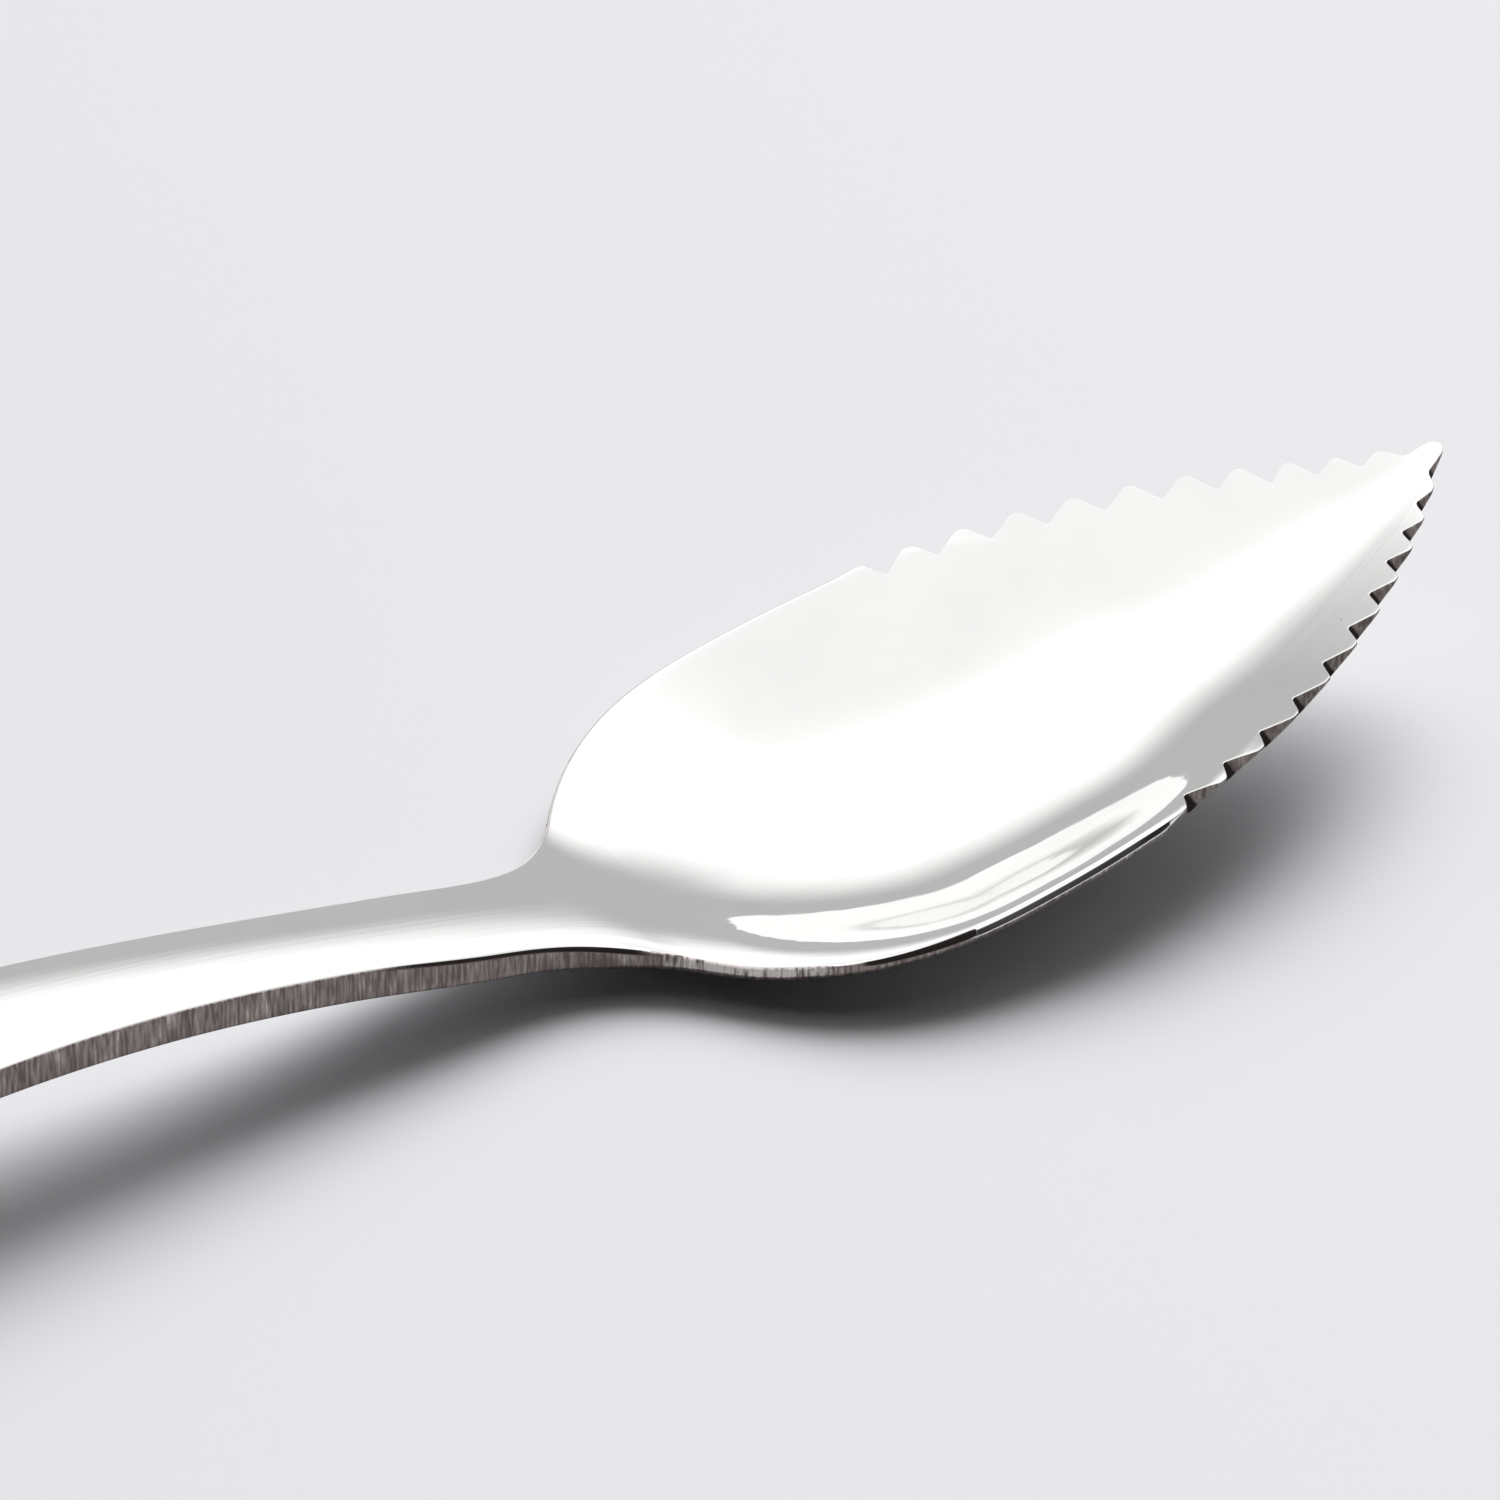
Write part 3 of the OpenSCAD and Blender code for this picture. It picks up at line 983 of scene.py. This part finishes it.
    def build(self) -> bpy.types.Object:
        """Makes the spoon's closed mesh: sections are mirrored into rings, which are joined.

        Returns:
            The object, at the origin.
        """
        s, y, z = self.section()
        lift = self.tip_z - self.tip_lift
        half = np.stack((self.spoon_l / 2.0 - s, y, z + lift), axis=-1)
        other = half[:, -2:0:-1] * (1.0, -1.0, 1.0)
        rings = np.concatenate((half, other), axis=1) * MM
        rows, columns = rings.shape[:2]
        index = np.arange(rows * columns).reshape(rows, columns)
        beside = np.roll(index, -1, axis=1)
        quads = np.stack((index[:-1], index[1:], beside[1:], beside[:-1]), axis=-1)
        finish = self.finishes(half.shape[1])
        mesh = bpy.data.meshes.new("fruit_spoon")
        mesh.from_pydata(rings.reshape(-1, 3), [], quads.reshape(-1, 4))
        mesh.polygons.foreach_set("material_index", np.hstack((finish, finish[:, ::-1])).ravel())
        for name, value in ((BUFF, self.buff(s)), (VALLEY_SHADE_AND_LINE, self.valley_shade_and_line(s, z))):
            ring = np.hstack((value, value[:, -2:0:-1]))
            mesh.attributes.new(name, "FLOAT", "POINT").data.foreach_set("value", ring.ravel())
        flow = self.flow(s, y)
        flow = np.concatenate((flow, flow[:, -2:0:-1] * (1.0, -1.0, 1.0)), axis=1)
        mesh.attributes.new(FLOW, "FLOAT_VECTOR", "POINT").data.foreach_set("vector", flow.ravel())
        self.close(mesh)
        piece = bpy.data.objects.new("fruit_spoon", mesh)
        bpy.context.scene.collection.objects.link(piece)
        return piece

    @staticmethod
    def close(mesh: bpy.types.Mesh) -> None:
        """Joins the doubled points at both ends, turns all faces outwards and shades them smooth.

        Args:
            mesh: The mesh, which is changed in place.
        """
        work = bmesh.new()
        work.from_mesh(mesh)
        bmesh.ops.remove_doubles(work, verts=work.verts, dist=MERGE_M)
        bmesh.ops.dissolve_degenerate(work, edges=work.edges, dist=SLIVER_M)
        bmesh.ops.recalc_face_normals(work, faces=work.faces)
        work.to_mesh(mesh)
        work.free()
        mesh.shade_smooth()

    def dress(self, piece: bpy.types.Object) -> None:
        """Gives the spoon its three finishes."""
        for finish in (MirrorSteel(), CutSteel(), GroundSteel()):
            piece.data.materials.append(finish.material())


@dataclass(frozen=True)
class Studio:
    """Pale table under a bright dome that is dim near the horizon and dark behind the camera."""

    floor_colour: Colour = (0.80, 0.795, 0.825)
    # Darker colour that the table takes for light that has already bounced once, which deepens the
    # shadow under the spoon
    bounce_colour: Colour = (0.40, 0.398, 0.412)
    floor_roughness: float = 0.6
    floor_side: float = 4000.0
    horizon: float = 0.53
    white: float = 1.2
    zenith: float = 1.03
    dim_below: float = 16.0
    white_above: float = 34.0
    white_below: float = 54.0
    zenith_above: float = 78.0
    flag_level: float = 0.01
    flag_from: float = 0.1
    flag_to: float = 0.42
    flag_below: float = 14.0
    flag_above: float = 34.0
    shade_lean: float = 0.5
    shade_from: float = -0.48
    shade_to: float = -0.16
    fill: float = 0.3
    key: float = 7.3
    key_azimuth: float = 42.0
    key_elevation: float = 47.0
    key_inner: float = 6.0
    key_outer: float = 30.0
    backdrop: float = 0.65

    def floor(self) -> None:
        """Makes a flat square table top, at the level that the spoon lies on."""
        square = np.array([[-1, -1, 0], [1, -1, 0], [1, 1, 0], [-1, 1, 0]])
        corners = square * self.floor_side / 2.0 * MM
        mesh = bpy.data.meshes.new("table_top")
        mesh.from_pydata(corners, [], [(0, 1, 2, 3)])
        floor = bpy.data.objects.new("table_top", mesh)
        bpy.context.scene.collection.objects.link(floor)
        material, tree = new_material("pale_table")
        bounced = tree.node("ShaderNodeLightPath")["Diffuse Depth"].at_most(1.0)
        colour = tree.mix(bounced, opaque(self.floor_colour), opaque(self.bounce_colour))
        tree.surface(Base_Color=colour, Roughness=self.floor_roughness)
        mesh.materials.append(material)

    def light(self, camera_side: Vector) -> None:
        """Lights the scene with a dome that mirrors show in one way and that casts light in another.

        Mirrors show it bright, with a dark flag low on the camera's side. The light comes from a dim
        part of it on the far side, and from a round key light.

        Args:
            camera_side: Level unit vector from the spoon towards the camera.
        """
        world = bpy.data.worlds.new("studio")
        bpy.context.scene.world = world
        tree = ShaderTree(world)
        place = tree.node("ShaderNodeTexCoord")["Generated"]
        axes = tree.node("ShaderNodeSeparateXYZ", {}, {"Vector": place})
        height = axes["Z"]
        low, high, top_low, top_high = np.sin(np.radians(
            [self.dim_below, self.white_above, self.white_below, self.zenith_above]))
        dome = tree.smooth(height, low, high) * (self.white - self.horizon) + self.horizon
        dome = dome - tree.smooth(height, top_low, top_high) * (self.white - self.zenith)
        toward = axes["X"] * camera_side.x + axes["Y"] * camera_side.y
        flag_low, flag_high = np.sin(np.radians([self.flag_below, self.flag_above]))
        above = tree.smooth(height, flag_low, flag_high)
        flag = tree.smooth(toward, self.flag_from, self.flag_to) * (1.0 - above)
        shade = tree.smooth(toward - height * self.shade_lean, self.shade_from, self.shade_to)
        side, up = np.radians([self.key_azimuth, self.key_elevation])
        level_key = axes["X"] * np.cos(side) + axes["Y"] * np.sin(side)
        along_key = level_key * np.cos(up) + height * np.sin(up)
        key = tree.smooth(along_key, *np.cos(np.radians([self.key_outer, self.key_inner])))
        shown = dome * (1.0 - flag) + flag * self.flag_level
        cast = dome * (1.0 - shade) * self.fill + key * self.key
        rays = tree.node("ShaderNodeLightPath")
        mirrored = rays["Is Glossy Ray"]
        bounced = rays["Diffuse Depth"].at_most(1.0)
        shown = shown * (1.0 - bounced * (1.0 - self.fill))
        level = shown * mirrored + cast * (1.0 - mirrored)
        white = opaque((1.0, 1.0, 1.0))
        lit = tree.node("ShaderNodeBackground", {}, {"Color": white, "Strength": level})[0]
        plain = tree.node("ShaderNodeBackground", {}, {"Color": white, "Strength": self.backdrop})[0]
        mixed = tree.node("ShaderNodeMixShader", {}, {0: rays["Is Camera Ray"], 1: lit, 2: plain})[0]
        tree.node("ShaderNodeOutputWorld", {}, {"Surface": mixed})


@dataclass(frozen=True)
class PhotoCamera:
    """Camera that sees the spoon as the photograph does, placed by where the tip shows in it."""

    azimuth: float = 234.01
    elevation: float = 32.4
    roll: float = 1.844
    lens: float = 162.0
    sensor: float = 36.0
    frame_px: float = 1500.0
    tip_px: tuple[float, float] = (1440.0, 442.0)
    tip_distance: float = 395.59
    clip_start: float = 10.0

    def axes(self) -> tuple[Vector, Vector, Vector]:
        """Directions of the camera's picture.

        Returns:
            Unit vectors to the camera's right, upwards in its picture and back towards it.
        """
        a, e, r = np.radians((self.azimuth, self.elevation, self.roll))
        back = Vector((np.cos(e) * np.cos(a), np.cos(e) * np.sin(a), np.sin(e)))
        level = Vector((0.0, 0.0, 1.0)).cross(back).normalized()
        right = level * np.cos(r) + back.cross(level) * np.sin(r)
        return right, back.cross(right), back

    def place(self, tip: Vector) -> None:
        """Puts the camera where the tip falls on its pixel, and makes it the scene's own.

        Args:
            tip: Upper corner of the spoon's tip, in metres.
        """
        right, up, back = self.axes()
        scale = self.sensor / self.lens / self.frame_px
        across = (self.tip_px[0] - self.frame_px / 2.0) * scale
        down = (self.tip_px[1] - self.frame_px / 2.0) * scale
        ray = (right * across - up * down - back).normalized()
        data = bpy.data.cameras.new("photo_camera")
        data.lens = self.lens
        data.sensor_width = self.sensor
        data.clip_start = self.clip_start * MM
        camera = bpy.data.objects.new("photo_camera", data)
        turn = Matrix((right, up, back)).transposed().to_4x4()
        camera.matrix_world = Matrix.Translation(tip - ray * self.tip_distance * MM) @ turn
        bpy.context.scene.collection.objects.link(camera)
        bpy.context.scene.camera = camera


def spoon_from_frame() -> FruitSpoon:
    """Sizes the spoon by the boxes of its three solids.

    Returns:
        The spoon, with its lengths, its handle's width and its tip's height.
    """
    low, high = zip(*(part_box(node) for node in ("bowl", "neck", "handle")))
    length = [(b.x - a.x) / MM for a, b in zip(low, high)]
    end_w = (high[2].y - low[2].y) / MM
    return FruitSpoon(bowl_l=length[0], neck_l=length[1], handle_l=length[2],
                      end_w=end_w, tip_z=high[0].z / MM)


def main() -> None:
    """Builds the camera, the studio and the spoon, and ties the spoon to the frame."""
    logging.basicConfig(level=logging.INFO, format="%(name)s: %(message)s")
    bpy.context.scene.view_settings.view_transform = "Standard"
    spoon = spoon_from_frame()
    camera = PhotoCamera()
    camera.place(Vector((spoon.spoon_l / 2.0, 0.0, spoon.tip_z)) * MM)
    studio = Studio()
    studio.floor()
    back = camera.axes()[2]
    studio.light(Vector((back.x, back.y, 0.0)).normalized())
    piece = spoon.build()
    spoon.dress(piece)
    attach(piece, "root")
    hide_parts("bowl", "neck", "handle")
    log.info("%s: %d faces", piece.name, len(piece.data.polygons))


if __name__ == "__main__":
    main()
